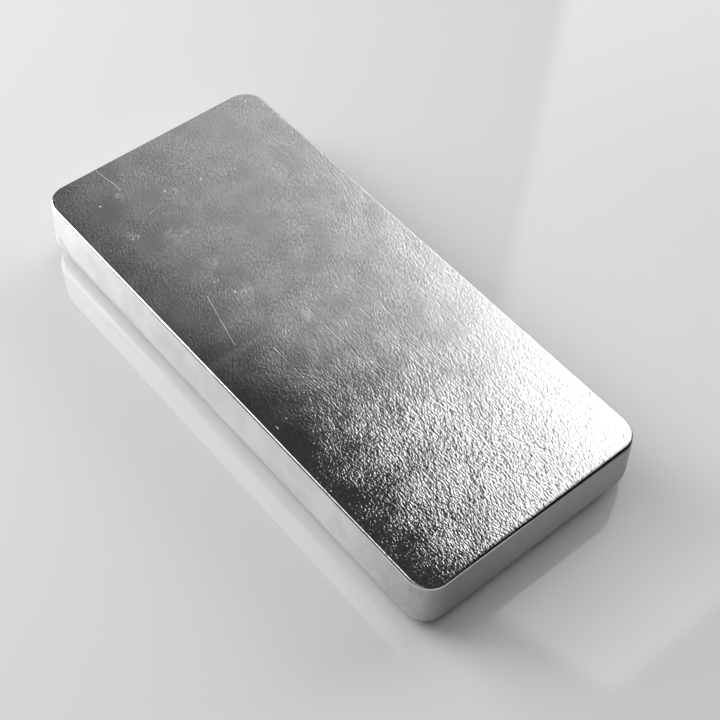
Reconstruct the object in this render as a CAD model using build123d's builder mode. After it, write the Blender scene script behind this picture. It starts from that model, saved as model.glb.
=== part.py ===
from build123d import *
import os

# A cast silver bar of one kilogram, lying on its wide face.
# X runs along the bar, Y across it and Z up. The origin is the middle of the underside.

# Driving dimensions, in millimetres and degrees
face_length = 120.5
face_width = 54.25
thickness = 14.7
wall_draft = 1.95
corner_radius = 4.9
foot_radius = 4.6
rim_radius = 0.5

# Least sizes that the foot's rounding leaves: a straight band of wall above it, and a turn at each corner
straight_wall = 2.0
corner_turn = 0.2

foot_rounding = min(foot_radius, thickness - rim_radius - straight_wall, corner_radius - corner_turn)

# Silver bar: its walls spread downwards from the flat upper face, as the mould gave them
with BuildPart() as silver_bar:
    with BuildSketch(Plane.XY.offset(thickness)):
        RectangleRounded(face_length, face_width, corner_radius)
    extrude(amount=-thickness, taper=-wall_draft)
    # The wide lower edge, well rounded where the metal set at the mould's mouth
    fillet(silver_bar.faces().sort_by(Axis.Z)[0].edges(), radius=foot_rounding)
    # The narrower upper edge, crisp but not sharp
    fillet(silver_bar.faces().sort_by(Axis.Z)[-1].edges(), radius=rim_radius)

silver_bar.part.label = "silver_bar"

os.makedirs("parts", exist_ok=True)
export_step(silver_bar.part, "parts/silver_bar.step")
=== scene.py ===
import math

import bpy
import bmesh
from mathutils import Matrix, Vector


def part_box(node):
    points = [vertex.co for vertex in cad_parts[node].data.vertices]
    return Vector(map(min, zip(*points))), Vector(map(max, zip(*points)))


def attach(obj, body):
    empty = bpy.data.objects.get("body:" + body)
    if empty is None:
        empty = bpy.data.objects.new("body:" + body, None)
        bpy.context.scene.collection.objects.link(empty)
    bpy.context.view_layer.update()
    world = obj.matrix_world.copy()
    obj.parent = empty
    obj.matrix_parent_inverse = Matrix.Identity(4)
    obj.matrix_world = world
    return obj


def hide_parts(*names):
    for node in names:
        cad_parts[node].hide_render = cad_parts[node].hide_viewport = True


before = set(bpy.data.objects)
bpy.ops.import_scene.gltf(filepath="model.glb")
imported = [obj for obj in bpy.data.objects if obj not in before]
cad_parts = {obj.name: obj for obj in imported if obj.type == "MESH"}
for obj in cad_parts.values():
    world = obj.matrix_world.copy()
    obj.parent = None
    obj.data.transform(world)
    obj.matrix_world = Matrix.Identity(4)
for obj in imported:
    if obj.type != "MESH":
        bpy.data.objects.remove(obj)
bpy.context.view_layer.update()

# Cast silver bar of one kilogram. Lengths are metres, and the bar lies on the floor at z = 0.

MM = 0.001

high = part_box("silver_bar")[1]
thickness = high.z

# Shape of the casting
wall_draft = math.radians(1.95)
corner_radius = 4.9 * MM
foot_radius = 4.6 * MM
rim_radius = 0.5 * MM

# The upper face's half sides before its rim is rounded, and the middles of its corners
draft_slope = math.tan(wall_draft)
draft_lean = 1 / math.cos(wall_draft)
foot_reach = draft_slope * (thickness - foot_radius) - foot_radius * (draft_lean - 1)
half_length = high.x - foot_reach
half_width = high.y - foot_reach
arc_x = half_length - corner_radius
arc_y = half_width - corner_radius

# Mesh fineness
corner_segments = 12
rim_segments = 6
wall_bands = 4
edge_band = 0.2 * MM
foot_segments = 7
cells_along = 25
cells_across = 10
cell_cuts = 14
wall_cuts = 4
cut_threshold = 1e-7
sliver = 0.03 * MM
hair = 0.001 * MM

# Relief of the upper face: ripples in the mesh, and grain and frost finer than the mesh as bump.
# The scale of a pattern is one over the real width of its grains.
ripple_height = 0.054 * MM
ripple_noise = {"Scale": 1 / (0.75 * MM), "Detail": 1.0, "Roughness": 0.4, "Distortion": 0.3}
ripple_rim = {"From Min": thickness - 20 * hair, "From Max": thickness - hair}
grain_height = 0.068 * MM
grain_noise = {"Scale": 1 / (0.36 * MM), "Detail": 1.0, "Roughness": 0.5, "Distortion": 0.3}
grain_stretch = 1.8
frost_height = 0.024 * MM
frost_noise = {"Scale": 1 / (0.42 * MM), "Detail": 2.0, "Roughness": 0.6}
frost_stretch = 1.9
frost_slant = math.radians(-38)

# How strongly the face is grained: between which places, and between which shares
coarse_along = {"From Min": -14 * MM, "From Max": 58 * MM, "To Min": 0.14, "To Max": 1.2}
coarse_far_half = {"From Min": 4 * MM, "From Max": 20 * MM, "To Min": 1.0, "To Max": 0.6}
coarse_far_edge = {"From Min": 9 * MM, "From Max": 22 * MM, "To Min": 0.0, "To Max": 0.45}
far_edge_along = {"From Min": -58 * MM, "From Max": -38 * MM}
coarse_near_edge = {"From Min": -27 * MM, "From Max": -14 * MM, "To Min": 0.4, "To Max": 1.0}

# Patches where the grain is stronger or weaker, and larger ones for the frost
coarse_patches = {"Scale": 1 / (7 * MM), "Detail": 2.0}
coarse_patch_share = {"From Min": 0.35, "From Max": 0.65, "To Min": 0.7, "To Max": 1.2}
frost_patches = {"Scale": 1 / (9 * MM), "Detail": 1.0}
frost_patch_share = {"From Min": 0.35, "From Max": 0.6, "To Min": 0.4, "To Max": 1.1}

# The +X end of the face curls up to its rim, too little for its outline: its start, and its height in all
curl_start = 34 * MM
curl_height = 0.38 * MM

# Its long edges fall off as little, and not at the -X end
fall_start = 14 * MM
fall_depth = 0.17 * MM
fall_along = {"From Min": -40 * MM, "From Max": 15 * MM}

# Its near corner at the +X end sags
sag_start = 16 * MM
sag_depth = 0.7 * MM

# A faint ridge across its near half: from and to which place in mm, its half width in mm, and its height
ridge = ((-1.5, -28.0), (-1.5, -5.0), 2.4)
ridge_height = 0.05 * MM

# Faint broken lines along the face: the place of the middle, the length and the half width in mm
lines = (
    (13, 18.4, 24, 0.22), (17, 9.3, 40, 0.22), (8, 5.5, 28, 0.22),
    (11, -2.6, 36, 0.22), (14, -13.8, 40, 0.22),
)
line_depth = 0.014 * MM
line_dashes = {"Scale": 1 / (1.6 * MM), "Detail": 2.0}
line_gaps = {"From Min": 0.45, "From Max": 0.6}

# Scratches on the upper face: the points and the half width in mm
scratches = (
    (((-59.6, -14.1), (-56.5, -13.8), (-54.0, -13.3), (-51.8, -13.3)), 0.12),
    (((-17.3, -16.3), (-4.2, -19.4)), 0.10),
    (((-43.5, -8.0), (-42.5, -12.5)), 0.06),
)

# White specks on it, as short strokes: place, length and half width in mm
specks = (
    (-44.1, 1.8, 0.6, 0.26), (-45.9, -6.2, 0.3, 0.32), (-50.5, -19.2, 0.2, 0.32),
    (-57.3, 23.6, 0.2, 0.26), (-42.1, 9.2, 0.4, 0.22), (-14.9, -11.3, 0.3, 0.26),
    (-38.8, -17.7, 0.3, 0.22), (-38.9, -19.0, 0.3, 0.18), (33.1, -26.0, 0.1, 0.18),
    (39.1, -20.2, 0.1, 0.18), (42.8, -22.4, 0.1, 0.18), (15.6, -22.4, 0.1, 0.2),
    (16.2, -25.0, 0.6, 0.14), (41.1, -27.2, 0.3, 0.3), (-17.6, -27.2, 0.2, 0.28),
)

# A dark speck on it, as a short stroke too
dark_speck = (-41.3, 6.95, 0.1, 0.34)

# Light clouds on its satin part: place, length and reach in mm, how far their outlines drift, and their dust
clouds = (
    (-38.8, -18.2, 1, 2.4), (-23.6, -10.4, 1, 2.6), (-44.0, -4.8, 1, 4.2), (-49.8, -14.6, 1, 2.2),
    (-34.0, -11.0, 1, 4.0), (-50.2, 20.6, 1, 1.6), (-20.5, -12.6, 1, 1.8), (-40.5, 22.5, 1, 2.2),
    (-13.5, -9.5, 1, 3.0),
)
cloud_drift = 3 * MM
cloud_drift_noise = {"Scale": 1 / (3 * MM), "Detail": 2.0}
cloud_dust = 0.14

# Light marks and a dark smudge on the near long wall: from and to which (x, z), and the half width, in mm
wall_marks = (
    ((40.9, 4.6), (44.9, 12.2), 0.5),
    ((29.6, 13.3), (30.5, 11.5), 0.3),
    ((38.0, 7.9), (38.6, 7.7), 0.35),
)
wall_smudge = ((-54.7, 6.3), (-51.5, 4.7), 1.2)
smudge_soot = 0.25

# The walls are darkened around this corner as painted shade: from where to where, and the reach in mm
shaded_corner = ((58.5, -25.5), (58.5, -26.5), 26)
shade_mottle = {"To Min": 0.34, "To Max": 0.48}

# A painted dark reflection under the rim of the +X end: its foot across the end, which lies lower at the far
# corner
dark_rim_foot = {
    "From Min": -half_width, "From Max": half_width,
    "To Min": thickness + 0.1 * MM, "To Max": thickness - 0.85 * MM,
}
dark_rim_end = {"From Min": half_length - 1.0 * MM, "From Max": half_length - 0.3 * MM}

# Broad haze all over, and the wisps in the clouds and in the painted shade of the walls
haze_noise = {"Scale": 1 / (7 * MM), "Detail": 5.0}
haze_share = {"From Min": 0.3, "From Max": 0.7}
wisp_noise = {"Scale": 1 / (0.9 * MM), "Detail": 3.0, "Roughness": 0.6, "Distortion": 0.8}
wisp_share = {"From Min": 0.42, "From Max": 0.68}

# Where the upper face ends, where the walls start, the near long wall, and the two end walls
face_zone = {"From Min": thickness - 0.3 * MM, "From Max": thickness - 0.1 * MM}
wall_zone = {
    "From Min": thickness - 0.7 * MM, "From Max": thickness - 0.5 * MM, "To Min": 1.0, "To Max": 0.0,
}
near_wall_zone = {"From Min": -half_width + 0.1 * MM, "From Max": -half_width}
end_wall_zone = {"From Min": half_length - 3 * MM, "From Max": half_length}

# Roughness: a satin that fades to the +X end along a slant, and is less along the near edge
bare_roughness = 0.04
satin_slant = -0.7
satin_along = {"From Min": 0.0, "From Max": 50 * MM, "To Min": 0.2, "To Max": 0.0}
satin_near_edge = {"From Min": -30 * MM, "From Max": -4 * MM, "To Min": 0.6, "To Max": 1.0}

# Roughness that each other finish adds
haze_roughness = 0.02
cloud_roughness = 0.12
scratch_roughness = 0.45
end_wall_roughness = 0.3
wall_roughness = 0.12

# Colours, and how the frost and the haze turn the darker silver to the lighter one
darker_silver = "D4D4D4"
lighter_silver = "FAFAFA"
# The end walls' darker grey is painted shade
end_wall_painted_shade = "BCBCBC"
# This grey is sooty dirt on the speck and the smudge, and painted shade on the walls around the near +X
# corner and under the +X rim
soot_and_shade_grey = "5C5C5C"
frost_tone = {"From Min": -0.2, "From Max": 0.2}
haze_tone = 0.4
whole_tone = {"From Min": 0.2, "From Max": 1.2}

# Floor
floor_radius = 8
floor_segments = 96
floor_colour = "E9E9E9"
floor_roughness = 0.02
floor_ior = 1.55

# Studio. The window's panes are flat in a wall that runs along this direction, and end at these planes.
room_level = 0.04
window_side = (0.791, 0.611, 0.026)
window_top = (-0.190, 0.873, -0.448)
window_end = (-0.976, 0.0, -0.215)
window_edge = {"From Min": -0.006, "From Max": 0.006}
window_foot = 0.4

# The window brightens and dims with height: from and to which height of the ray, and by how much
window_steps = ((0.48, 0.60, 1.5), (0.60, 0.70, -0.6), (0.70, 0.80, 0.3))

# Soft lights of the room: azimuth, elevation, the angles where full strength and all light end, and strength
soft_lights = (
    ("front left ceiling", 208, 50, 4, 26, 1.9),
    ("beside the window", 131, 31, 5, 25, 0.72),
    ("front", 275, 35, 4, 24, 0.5),
)

# Softbox: azimuth, elevation, distance, size and strength
softbox_azimuth = 208
softbox_elevation = 25
softbox_distance = 0.45
softbox_size = 0.3
softbox_strength = 5.1

# Fill lamps, which reach only matt surfaces and not the metal: azimuth, elevation, width and strength
fill_lamps = (
    ("back fill", 90, 25, 30, 0.68),
    ("top fill", 0, 90, 50, 0.58),
)

# Camera
camera_lens = 74.71
camera_place = (142.816, -120.57, 241.798)
camera_turn = (37.5374, -1.8071, 50.014)

# Settings that many nodes share
smooth = {"interpolation_type": "SMOOTHSTEP"}
stretched = {"vector_type": "TEXTURE"}
add = {"operation": "ADD"}
subtract = {"operation": "SUBTRACT"}
multiply = {"operation": "MULTIPLY"}
multiply_add = {"operation": "MULTIPLY_ADD"}
maximum = {"operation": "MAXIMUM"}
absolute = {"operation": "ABSOLUTE"}
power = {"operation": "POWER"}
dot_product = {"operation": "DOT_PRODUCT"}


def linear(hex_colour):
    """The linear colour of an sRGB hex value."""
    parts = [int(hex_colour[i : i + 2], 16) / 255 for i in (0, 2, 4)]
    return [c / 12.92 if c <= 0.04045 else ((c + 0.055) / 1.055) ** 2.4 for c in parts] + [1.0]


def add_node(tree, kind, settings=None, inputs=None):
    """Adds a node with its settings and inputs. A node given as input stands for its first output."""
    node = tree.nodes.new(kind)
    for name, value in (settings or {}).items():
        setattr(node, name, value)
    for name, value in (inputs or {}).items():
        if isinstance(value, bpy.types.Node):
            value = value.outputs[0]
        if isinstance(value, bpy.types.NodeSocket):
            tree.links.new(value, node.inputs[name])
        else:
            node.inputs[name].default_value = value
    return node


def select_faces(piece, test):
    """In edit mode, selects the faces whose middle passes the test."""
    bpy.ops.mesh.select_all(action="DESELECT")
    bpy.ops.mesh.select_mode(type="FACE")
    mesh = bmesh.from_edit_mesh(piece.data)
    for face in mesh.faces:
        face.select_set(not face.hide and test(face.calc_center_median()))
    bmesh.update_edit_mesh(piece.data)


def select_edges(piece, test):
    """In edit mode, selects the edges whose two ends pass the test."""
    bpy.ops.mesh.select_all(action="DESELECT")
    bpy.ops.mesh.select_mode(type="EDGE")
    mesh = bmesh.from_edit_mesh(piece.data)
    for edge in mesh.edges:
        edge.select_set(not edge.hide and test(edge.verts[0].co, edge.verts[1].co))
    bmesh.update_edit_mesh(piece.data)


def cut(places, axis):
    """In edit mode, cuts all that is visible by planes at these places along an axis."""
    normal = Vector((0, 0, 0))
    normal[axis] = 1
    for place in places:
        bpy.ops.mesh.select_all(action="SELECT")
        bpy.ops.mesh.bisect(plane_co=normal * place, plane_no=normal, threshold=cut_threshold)


def even_steps(end, count):
    """Places from -end to end, both included."""
    return [end * (2 * step / count - 1) for step in range(count + 1)]


def side_profile():
    """Rings of the bar's side from the rim down, as (reach beyond the face's outline, height)."""
    rings = []
    rim_middle = draft_slope * rim_radius - rim_radius * draft_lean
    for step in range(rim_segments + 1):
        turn = math.pi / 2 - step * (math.pi / 2 - wall_draft) / rim_segments
        reach = rim_middle + rim_radius * math.cos(turn)
        rings.append((reach, thickness - rim_radius + rim_radius * math.sin(turn)))
    wall_top = rings[-1][1]
    wall_foot = foot_radius + foot_radius * math.sin(wall_draft)
    flat_part = wall_top - wall_foot - 2 * edge_band
    for step in range(wall_bands + 1):
        height = wall_top - edge_band - flat_part * step / wall_bands
        rings.append((draft_slope * (thickness - height), height))
    foot_middle = draft_slope * (thickness - foot_radius) - foot_radius * draft_lean
    for step in range(foot_segments + 1):
        turn = wall_draft - step * (math.pi / 2 + wall_draft) / foot_segments
        reach = foot_middle + foot_radius * math.cos(turn)
        rings.append((reach, foot_radius + foot_radius * math.sin(turn)))
    rings.append((foot_middle - rim_radius, 0.0))
    return rings


def rounded_plate(reach, height):
    """The upper face with rounded corners, as one flat face."""
    bpy.ops.mesh.primitive_plane_add(size=2, location=(0, 0, height))
    bar = bpy.context.object
    bar.name = "cast_silver_bar"
    bar.scale = (half_length + reach, half_width + reach, 1)
    bpy.ops.object.transform_apply(location=True, rotation=True, scale=True)
    bpy.ops.object.mode_set(mode="EDIT")
    bpy.ops.mesh.select_all(action="SELECT")
    bpy.ops.mesh.bevel(
        affect="VERTICES", offset_type="OFFSET", offset=corner_radius + reach,
        segments=corner_segments, profile=0.5, clamp_overlap=False,
    )
    return bar


def spread_corner(bar, ring, side_x, side_y, height, spread):
    """Spreads one corner of a ring about the corner's own middle."""
    mesh = bmesh.from_edit_mesh(bar.data)
    mesh.verts.ensure_lookup_table()
    bpy.ops.mesh.select_all(action="DESELECT")
    for index in ring:
        vertex = mesh.verts[index]
        vertex.select_set(vertex.co.x * side_x > 0 and vertex.co.y * side_y > 0)
    mesh.select_flush_mode()
    centre = (side_x * arc_x, side_y * arc_y, height)
    bpy.ops.transform.resize(value=(spread, spread, 1), center_override=centre)


def select_ring(bar, ring):
    """Selects the edges of a ring."""
    mesh = bmesh.from_edit_mesh(bar.data)
    mesh.verts.ensure_lookup_table()
    mesh.edges.ensure_lookup_table()
    bpy.ops.mesh.select_all(action="DESELECT")
    members = set(ring)
    for edge in mesh.edges:
        edge.select_set(edge.verts[0].index in members and edge.verts[1].index in members)


def draw_down(bar, rings):
    """Draws the edge down to the underside. Each ring is the last one extruded, with its corners spread."""
    bpy.ops.mesh.select_all(action="SELECT")
    bpy.ops.mesh.select_mode(type="EDGE")
    bpy.ops.mesh.region_to_loop()
    for (reach, height), (next_reach, next_height) in zip(rings, rings[1:]):
        drop = (0, 0, next_height - height)
        bpy.ops.mesh.extrude_edges_move(TRANSFORM_OT_translate={"value": drop})
        spread = (corner_radius + next_reach) / (corner_radius + reach)
        ring = [v.index for v in bmesh.from_edit_mesh(bar.data).verts if v.select]
        for side_x in (-1, 1):
            for side_y in (-1, 1):
                spread_corner(bar, ring, side_x, side_y, next_height, spread)
        select_ring(bar, ring)
    bpy.ops.mesh.edge_face_add()


def divide(bar, rim_foot, corner_cell):
    """Cuts the bar into cells of about 4.4 mm, and divides them, most finely above the rim's foot."""
    cut(even_steps(arc_x, cells_along), 0)
    cut(even_steps(arc_y, cells_across), 1)

    # The corners of the upper face and its rim take the lines of the fine grid one by one
    beyond = [corner_cell * step / (cell_cuts + 1) for step in range(1, cell_cuts + 1)]
    select_faces(bar, lambda middle: middle.z > rim_foot)
    bpy.ops.mesh.hide(unselected=True)
    for axis, arc in ((0, arc_x), (1, arc_y)):
        cut([side * (arc + place) for side in (-1, 1) for place in beyond], axis)
    bpy.ops.mesh.select_all(action="SELECT")
    bpy.ops.mesh.remove_doubles(threshold=sliver)
    bpy.ops.mesh.reveal(select=False)

    # Everywhere else the cells' edges are divided
    def coarse(one, other, axis):
        run = other - one
        return abs(run[axis]) > corner_cell - sliver and abs(run[1 - axis]) < hair and abs(run.z) < hair

    for axis in (0, 1):
        select_edges(bar, lambda a, b: coarse(a, b, axis) and a.z > rim_foot)
        bpy.ops.mesh.subdivide(number_cuts=cell_cuts)
        select_edges(bar, lambda a, b: coarse(a, b, axis) and hair < a.z < rim_foot)
        bpy.ops.mesh.subdivide(number_cuts=wall_cuts)


def model_bar():
    """The casting: a rounded plate, its edge drawn down ring by ring, then cut fine for its ripples."""
    rings = side_profile()
    bar = rounded_plate(*rings[0])
    draw_down(bar, rings)
    divide(bar, rings[rim_segments][1] - hair, corner_radius + rings[0][0])
    bpy.ops.object.mode_set(mode="OBJECT")
    return bar


def coarseness(tree, place):
    """How strongly the face is grained, from 0 to about 1 at the +X end. Works in both kinds of tree."""
    along, across, _ = add_node(tree, "ShaderNodeSeparateXYZ", inputs={0: place}).outputs
    amount = add_node(tree, "ShaderNodeMapRange", smooth, {"Value": along, **coarse_along})
    far_half = add_node(tree, "ShaderNodeMapRange", smooth, {"Value": across, **coarse_far_half})
    amount = add_node(tree, "ShaderNodeMath", multiply, {0: amount, 1: far_half})
    far_edge = add_node(tree, "ShaderNodeMapRange", smooth, {"Value": across, **coarse_far_edge})
    start = add_node(tree, "ShaderNodeMapRange", smooth, {"Value": along, **far_edge_along})
    far_edge = add_node(tree, "ShaderNodeMath", multiply, {0: far_edge, 1: start})
    amount = add_node(tree, "ShaderNodeMath", maximum, {0: amount, 1: far_edge})
    near_edge = add_node(tree, "ShaderNodeMapRange", smooth, {"Value": across, **coarse_near_edge})
    amount = add_node(tree, "ShaderNodeMath", multiply, {0: amount, 1: near_edge})
    patches = add_node(tree, "ShaderNodeTexNoise", inputs={"Vector": place, **coarse_patches})
    patches = add_node(tree, "ShaderNodeMapRange", smooth, {"Value": patches, **coarse_patch_share})
    return add_node(tree, "ShaderNodeMath", multiply, {0: amount, 1: patches})


def relieve(bar):
    """Presses the ripples of the cast into the upper face, always inwards, and fades them at the rim."""
    tree = bpy.data.node_groups.new("cast ripples", "GeometryNodeTree")
    tree.interface.new_socket("Geometry", in_out="INPUT", socket_type="NodeSocketGeometry")
    tree.interface.new_socket("Geometry", in_out="OUTPUT", socket_type="NodeSocketGeometry")
    start = add_node(tree, "NodeGroupInput")
    place = add_node(tree, "GeometryNodeInputPosition")
    drawn = add_node(tree, "ShaderNodeVectorMath", multiply, {0: place, 1: (1 / grain_stretch, 1, 1)})
    ripples = add_node(tree, "ShaderNodeTexNoise", inputs={"Vector": drawn, **ripple_noise})
    amount = coarseness(tree, place)
    apart = add_node(tree, "ShaderNodeSeparateXYZ", inputs={0: place})
    level = add_node(tree, "ShaderNodeMapRange", smooth, {"Value": apart.outputs["Z"], **ripple_rim})
    depth = add_node(tree, "ShaderNodeMath", multiply, {0: ripples, 1: amount})
    depth = add_node(tree, "ShaderNodeMath", multiply, {0: depth, 1: level})
    depth = add_node(tree, "ShaderNodeMath", multiply, {0: depth, 1: -ripple_height})
    offset = add_node(tree, "ShaderNodeCombineXYZ", inputs={"Z": depth})
    moved = add_node(tree, "GeometryNodeSetPosition", inputs={"Geometry": start, "Offset": offset})
    add_node(tree, "NodeGroupOutput", inputs={"Geometry": moved})
    modifier = bar.modifiers.new("cast ripples", "NODES")
    modifier.node_group = tree
    bpy.ops.object.modifier_apply(modifier=modifier.name)


def stroke(tree, place, start, end, reach):
    """A mask by X and Y: 1 on the line between two points in mm, falling to 0 at this reach beside it."""
    start, end = Vector((*start, 0)) * MM, Vector((*end, 0)) * MM
    run = end - start
    flat = add_node(tree, "ShaderNodeVectorMath", multiply_add, {0: place, 1: (1, 1, 0), 2: -start})
    share = add_node(tree, "ShaderNodeVectorMath", dot_product, {0: flat, 1: run / run.length ** 2})
    share = add_node(tree, "ShaderNodeClamp", inputs={"Value": share.outputs["Value"]})
    nearest = add_node(tree, "ShaderNodeVectorMath", {"operation": "SCALE"}, {0: run, "Scale": share})
    gap = add_node(tree, "ShaderNodeVectorMath", {"operation": "DISTANCE"}, {0: flat, 1: nearest})
    gap = gap.outputs["Value"]
    return add_node(tree, "ShaderNodeMapRange", smooth, {
        "Value": gap, "From Min": 0.0, "From Max": reach * MM, "To Min": 1.0, "To Max": 0.0})


def strokes(tree, place, rows):
    """A mask of many strokes, each as (start, end, reach)."""
    marks = 0.0
    for start, end, reach in rows:
        mark = stroke(tree, place, start, end, reach)
        marks = add_node(tree, "ShaderNodeMath", maximum, {0: mark, 1: marks})
    return marks


def along_x(rows):
    """Turns rows of (x, y, length, reach) into strokes along X, as (start, end, reach)."""
    return [((x - length / 2, y), (x + length / 2, y), reach) for x, y, length, reach in rows]


def grain_and_frost(tree, place, on_top):
    """The height of the grain and of the slanting frost between it, and the frost alone."""
    drawn = add_node(tree, "ShaderNodeMapping", stretched, {
        "Vector": place, "Scale": (grain_stretch, 1, 1)})
    grain = add_node(tree, "ShaderNodeTexNoise", inputs={"Vector": drawn, **grain_noise})
    grain = add_node(tree, "ShaderNodeMath", subtract, {0: grain, 1: 0.5})
    height = add_node(tree, "ShaderNodeMath", multiply, {0: coarseness(tree, place), 1: grain})
    height = add_node(tree, "ShaderNodeMath", multiply, {0: height, 1: grain_height})
    slanted = add_node(tree, "ShaderNodeMapping", stretched, {
        "Vector": place, "Rotation": (0, 0, frost_slant), "Scale": (frost_stretch, 1, 1)})
    frost = add_node(tree, "ShaderNodeTexNoise", inputs={"Vector": slanted, **frost_noise})
    frost = add_node(tree, "ShaderNodeMath", subtract, {0: frost, 1: 0.5})
    patches = add_node(tree, "ShaderNodeTexNoise", inputs={"Vector": place, **frost_patches})
    patches = add_node(tree, "ShaderNodeMapRange", smooth, {"Value": patches, **frost_patch_share})
    patches = add_node(tree, "ShaderNodeMath", multiply, {0: patches, 1: on_top})
    frost = add_node(tree, "ShaderNodeMath", multiply, {0: frost, 1: patches})
    height = add_node(tree, "ShaderNodeMath", multiply_add, {0: frost, 1: frost_height, 2: height})
    return height, frost


def ridge_and_lines(tree, place, height):
    """Adds the faint ridge and the broken lines to the height."""
    raised = stroke(tree, place, *ridge)
    height = add_node(tree, "ShaderNodeMath", multiply_add, {0: raised, 1: ridge_height, 2: height})
    dashes = add_node(tree, "ShaderNodeTexNoise", inputs={"Vector": place, **line_dashes})
    dashes = add_node(tree, "ShaderNodeMapRange", inputs={"Value": dashes, **line_gaps})
    sunken = strokes(tree, place, along_x(lines))
    sunken = add_node(tree, "ShaderNodeMath", multiply, {0: sunken, 1: dashes})
    return add_node(tree, "ShaderNodeMath", multiply_add, {0: sunken, 1: -line_depth, 2: height})


def slight_bends(tree, along, across, height):
    """Adds the curled end, the fallen long edges and the sagging corner to the height."""
    curl = add_node(tree, "ShaderNodeMapRange", inputs={
        "Value": along, "From Min": curl_start, "From Max": half_length})
    curl = add_node(tree, "ShaderNodeMath", power, {0: curl, 1: 2.0})
    height = add_node(tree, "ShaderNodeMath", multiply_add, {0: curl, 1: curl_height, 2: height})
    from_axis = add_node(tree, "ShaderNodeMath", absolute, {0: across})
    fall = add_node(tree, "ShaderNodeMapRange", inputs={
        "Value": from_axis, "From Min": fall_start, "From Max": half_width})
    fall = add_node(tree, "ShaderNodeMath", power, {0: fall, 1: 2.0})
    fall_share = add_node(tree, "ShaderNodeMapRange", smooth, {"Value": along, **fall_along})
    fall = add_node(tree, "ShaderNodeMath", multiply, {0: fall, 1: fall_share})
    height = add_node(tree, "ShaderNodeMath", multiply_add, {0: fall, 1: -fall_depth, 2: height})
    sag = add_node(tree, "ShaderNodeMapRange", inputs={
        "Value": across, "From Min": 0.0, "From Max": -half_width})
    sag = add_node(tree, "ShaderNodeMath", power, {0: sag, 1: 2.0})
    sag_share = add_node(tree, "ShaderNodeMapRange", smooth, {
        "Value": along, "From Min": sag_start, "From Max": half_length})
    sag = add_node(tree, "ShaderNodeMath", multiply, {0: sag, 1: sag_share})
    return add_node(tree, "ShaderNodeMath", multiply_add, {0: sag, 1: -sag_depth, 2: height})


def haze_and_wisps(tree, place):
    """Broad haze all over, and the fine wisps that the clouds and the painted shade of the walls are made
    of.
    """
    haze = add_node(tree, "ShaderNodeTexNoise", inputs={"Vector": place, **haze_noise})
    haze = add_node(tree, "ShaderNodeMapRange", smooth, {"Value": haze, **haze_share})
    wisps = add_node(tree, "ShaderNodeTexNoise", inputs={"Vector": place, **wisp_noise})
    wisps = add_node(tree, "ShaderNodeMapRange", smooth, {"Value": wisps, **wisp_share})
    return haze, wisps


def light_clouds(tree, place, wisps):
    """The light clouds, whose outlines drift."""
    drift = add_node(tree, "ShaderNodeTexNoise", inputs={"Vector": place, **cloud_drift_noise})
    reach = Vector((cloud_drift, cloud_drift, 0))
    drift = add_node(tree, "ShaderNodeVectorMath", multiply_add, {
        0: drift.outputs["Color"], 1: 2 * reach, 2: -reach})
    drifted = add_node(tree, "ShaderNodeVectorMath", add, {0: place, 1: drift})
    light = strokes(tree, drifted, along_x(clouds))
    return add_node(tree, "ShaderNodeMath", multiply, {0: light, 1: wisps})


def dust_share(tree, place, wall_place, light, on_top, on_wall):
    """How much dust hides the metal: white specks, the clouds, and the light marks on the near wall."""
    dust = strokes(tree, place, along_x(specks))
    veil = add_node(tree, "ShaderNodeMath", multiply, {0: light, 1: cloud_dust})
    dust = add_node(tree, "ShaderNodeMath", maximum, {0: dust, 1: veil})
    dust = add_node(tree, "ShaderNodeMath", multiply, {0: dust, 1: on_top})
    marks = strokes(tree, wall_place, wall_marks)
    marks = add_node(tree, "ShaderNodeMath", multiply, {0: marks, 1: on_wall})
    return add_node(tree, "ShaderNodeMath", maximum, {0: marks, 1: dust})


def speck_and_smudge(tree, place, wall_place, on_top, on_wall):
    """How much sooty dirt lies on the dark speck and on the smudge of the near wall."""
    speck = strokes(tree, place, along_x([dark_speck]))
    speck = add_node(tree, "ShaderNodeMath", multiply, {0: speck, 1: on_top})
    smudge = stroke(tree, wall_place, *wall_smudge)
    smudge = add_node(tree, "ShaderNodeMath", multiply, {0: smudge, 1: on_wall})
    return add_node(tree, "ShaderNodeMath", multiply_add, {0: smudge, 1: smudge_soot, 2: speck})


def shade_and_dark_rim(tree, place, wisps, below, soot_and_shade):
    """Adds the painted shade on the walls around the near +X corner, and a painted dark reflection under the
    rim of the +X end, to the grey share.
    """
    mottle = add_node(tree, "ShaderNodeMapRange", inputs={"Value": wisps, **shade_mottle})
    # Painted shade: the walls around the near +X corner are darkened, mottled by the wisps
    corner_shade = stroke(tree, place, *shaded_corner)
    corner_shade = add_node(tree, "ShaderNodeMath", multiply, {0: corner_shade, 1: mottle})
    corner_shade = add_node(tree, "ShaderNodeMath", multiply, {0: corner_shade, 1: below})
    soot_and_shade = add_node(tree, "ShaderNodeMath", add, {0: corner_shade, 1: soot_and_shade})
    # Painted dark reflection: a grey line under the rim of the +X end, widest at the far corner
    along, across, up = add_node(tree, "ShaderNodeSeparateXYZ", inputs={0: place}).outputs
    foot = add_node(tree, "ShaderNodeMapRange", inputs={"Value": across, **dark_rim_foot})
    dark_rim = add_node(tree, "ShaderNodeMath", {"operation": "GREATER_THAN"}, {0: up, 1: foot})
    end = add_node(tree, "ShaderNodeMapRange", inputs={"Value": along, **dark_rim_end})
    dark_rim = add_node(tree, "ShaderNodeMath", multiply, {0: dark_rim, 1: end})
    return add_node(tree, "ShaderNodeMath", maximum, {0: soot_and_shade, 1: dark_rim})


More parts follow.
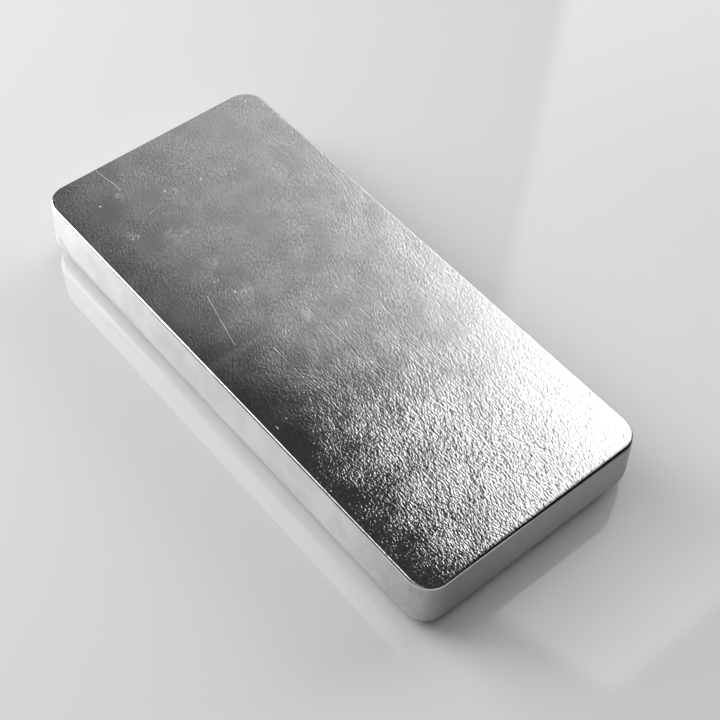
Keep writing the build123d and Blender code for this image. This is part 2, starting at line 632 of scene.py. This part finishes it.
def satin_roughness(tree, along, across):
    """The upper face is brightest at its +X end, and more satin elsewhere, but less by the near edge."""
    slanted = add_node(tree, "ShaderNodeMath", multiply_add, {0: across, 1: satin_slant, 2: along})
    satin = add_node(tree, "ShaderNodeMapRange", smooth, {"Value": slanted, **satin_along})
    inner = add_node(tree, "ShaderNodeMapRange", smooth, {"Value": across, **satin_near_edge})
    return add_node(tree, "ShaderNodeMath", multiply_add, {0: satin, 1: inner, 2: bare_roughness})


def silver_colour(tree, frost, haze, end_wall, soot_and_shade):
    """Frost and haze change how much light the metal gives back. The end walls are darker as painted shade,
    and the grey is sooty dirt and painted shade.
    """
    tone = add_node(tree, "ShaderNodeMapRange", inputs={"Value": frost, **frost_tone})
    tone = add_node(tree, "ShaderNodeMath", multiply_add, {0: haze, 1: haze_tone, 2: tone})
    tone = add_node(tree, "ShaderNodeMapRange", inputs={"Value": tone, **whole_tone})
    colour = linear(darker_silver)
    for share, hex_colour in ((tone, lighter_silver), (end_wall, end_wall_painted_shade), (soot_and_shade, soot_and_shade_grey)):
        colour = add_node(tree, "ShaderNodeMix", {"data_type": "RGBA"}, {
            0: share, 6: colour, 7: linear(hex_colour)}).outputs[2]
    return colour


def cast_silver():
    """Fine silver, as it left a warm iron mould: bright, faintly satin, with a leather-like grain."""
    material = bpy.data.materials.new("cast fine silver")
    material.use_nodes = True
    tree = material.node_tree
    tree.nodes.clear()
    place = add_node(tree, "ShaderNodeTexCoord").outputs["Object"]
    along, across, up = add_node(tree, "ShaderNodeSeparateXYZ", inputs={0: place}).outputs
    on_top = add_node(tree, "ShaderNodeMapRange", smooth, {"Value": up, **face_zone})
    below = add_node(tree, "ShaderNodeMapRange", inputs={"Value": up, **wall_zone})
    on_wall = add_node(tree, "ShaderNodeMapRange", inputs={"Value": across, **near_wall_zone})
    wall_place = add_node(tree, "ShaderNodeCombineXYZ", inputs={"X": along, "Y": up})
    from_middle = add_node(tree, "ShaderNodeMath", absolute, {0: along})
    # The end walls: rougher, and darker as painted shade
    end_wall = add_node(tree, "ShaderNodeMapRange", smooth, {"Value": from_middle, **end_wall_zone})
    end_wall = add_node(tree, "ShaderNodeMath", multiply, {0: end_wall, 1: below})

    # Relief
    height, frost = grain_and_frost(tree, place, on_top)
    height = ridge_and_lines(tree, place, height)
    height = add_node(tree, "ShaderNodeMath", multiply, {0: height, 1: on_top})
    height = slight_bends(tree, along, across, height)
    bump = add_node(tree, "ShaderNodeBump", inputs={"Height": height, "Strength": 1.0, "Distance": 1.0})

    # Haze, clouds, marks, sooty dirt and painted shade
    haze, wisps = haze_and_wisps(tree, place)
    light = light_clouds(tree, place, wisps)
    marks = strokes(tree, place, [
        (start, end, reach) for points, reach in scratches for start, end in zip(points, points[1:])])
    marks = add_node(tree, "ShaderNodeMath", multiply, {0: marks, 1: on_top})
    dust = dust_share(tree, place, wall_place, light, on_top, on_wall)
    metal = add_node(tree, "ShaderNodeMath", subtract, {0: 1.0, 1: dust})
    soot_and_shade = speck_and_smudge(tree, place, wall_place, on_top, on_wall)
    # Painted shade around the near +X corner and a painted dark line under the +X rim join the grey share
    soot_and_shade = shade_and_dark_rim(tree, place, wisps, below, soot_and_shade)

    rough = satin_roughness(tree, along, across)
    for share, more in (
        (haze, haze_roughness), (light, cloud_roughness), (marks, scratch_roughness),
        (end_wall, end_wall_roughness), (below, wall_roughness),
    ):
        rough = add_node(tree, "ShaderNodeMath", multiply_add, {0: share, 1: more, 2: rough})
    colour = silver_colour(tree, frost, haze, end_wall, soot_and_shade)
    shader = add_node(tree, "ShaderNodeBsdfPrincipled", inputs={
        "Base Color": colour, "Metallic": metal, "Roughness": rough, "Normal": bump})
    add_node(tree, "ShaderNodeOutputMaterial", inputs={"Surface": shader})
    return material


def glossy_floor():
    """Pale glazed porcelain under the bar: a glossy sheet that shows its mirror image."""
    bpy.ops.mesh.primitive_circle_add(vertices=floor_segments, radius=floor_radius, fill_type="NGON")
    floor = bpy.context.object
    floor.name = "floor"
    material = bpy.data.materials.new("pale glazed porcelain")
    material.use_nodes = True
    tree = material.node_tree
    tree.nodes.clear()
    shader = add_node(tree, "ShaderNodeBsdfPrincipled", inputs={
        "Base Color": linear(floor_colour), "Roughness": floor_roughness, "IOR": floor_ior})
    add_node(tree, "ShaderNodeOutputMaterial", inputs={"Surface": shader})
    floor.data.materials.append(material)


def direction(azimuth, elevation):
    """The direction at this azimuth and elevation in degrees, of length one."""
    turn, rise = math.radians(azimuth), math.radians(elevation)
    return Vector((math.cos(turn) * math.cos(rise), math.sin(turn) * math.cos(rise), math.sin(rise)))


def room():
    """The light of the room: a tall window behind the bar, and soft lights around it."""
    world = bpy.data.worlds.new("studio")
    bpy.context.scene.world = world
    world.use_nodes = True
    tree = world.node_tree
    tree.nodes.clear()
    ray = add_node(tree, "ShaderNodeTexCoord").outputs["Generated"]

    # The window
    height = add_node(tree, "ShaderNodeSeparateXYZ", inputs={0: ray}).outputs["Z"]
    window = window_foot
    for start, end, change in window_steps:
        step = add_node(tree, "ShaderNodeMapRange", smooth, {
            "Value": height, "From Min": start, "From Max": end, "To Max": change})
        window = add_node(tree, "ShaderNodeMath", add, {0: step, 1: window})
    for plane in (window_side, window_top, window_end):
        inside = add_node(tree, "ShaderNodeVectorMath", dot_product, {0: ray, 1: plane})
        inside = inside.outputs["Value"]
        inside = add_node(tree, "ShaderNodeMapRange", inputs={"Value": inside, **window_edge})
        window = add_node(tree, "ShaderNodeMath", multiply, {0: window, 1: inside})
    total = add_node(tree, "ShaderNodeMath", maximum, {0: window, 1: room_level})

    # The soft lights
    for name, azimuth, elevation, full, end, strength in soft_lights:
        middle = direction(azimuth, elevation)
        near = add_node(tree, "ShaderNodeVectorMath", dot_product, {0: ray, 1: middle})
        glow = add_node(tree, "ShaderNodeMapRange", {"name": name, **smooth}, {
            "Value": near.outputs["Value"], "From Min": math.cos(math.radians(end)),
            "From Max": math.cos(math.radians(full)), "To Max": strength})
        total = add_node(tree, "ShaderNodeMath", add, {0: total, 1: glow})
    back = add_node(tree, "ShaderNodeBackground", inputs={"Color": linear("FFFFFF"), "Strength": total})
    add_node(tree, "ShaderNodeOutputWorld", inputs={"Surface": back})


def lamps():
    """One softbox on the left, and fill lamps for the matt surfaces."""
    lamp = bpy.data.lights.new("softbox", "AREA")
    lamp.size = softbox_size
    lamp.energy = softbox_strength * math.pi * lamp.size ** 2
    softbox = bpy.data.objects.new("softbox", lamp)
    softbox.location = direction(softbox_azimuth, softbox_elevation) * softbox_distance
    softbox.rotation_euler = (-softbox.location).to_track_quat("-Z", "Y").to_euler()
    bpy.context.collection.objects.link(softbox)
    for name, azimuth, elevation, width, strength in fill_lamps:
        lamp = bpy.data.lights.new(name, "SUN")
        lamp.energy = strength
        lamp.angle = math.radians(width)
        fill = bpy.data.objects.new(name, lamp)
        fill.rotation_euler = direction(azimuth, elevation).to_track_quat("Z", "Y").to_euler()
        fill.visible_glossy = False
        bpy.context.collection.objects.link(fill)


def place_camera():
    """Looks down on the bar's near corner from about 52 degrees up."""
    data = bpy.data.cameras.new("camera")
    data.lens = camera_lens
    camera = bpy.data.objects.new("camera", data)
    camera.location = Vector(camera_place) * MM
    camera.rotation_euler = [math.radians(angle) for angle in camera_turn]
    bpy.context.collection.objects.link(camera)
    bpy.context.scene.camera = camera


bpy.ops.object.select_all(action="DESELECT")
bar = model_bar()
relieve(bar)
bpy.ops.object.shade_smooth()
bar.data.materials.append(cast_silver())
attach(bar, "root")
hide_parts("silver_bar")

glossy_floor()
room()
lamps()
place_camera()
bpy.context.scene.view_settings.view_transform = "Standard"
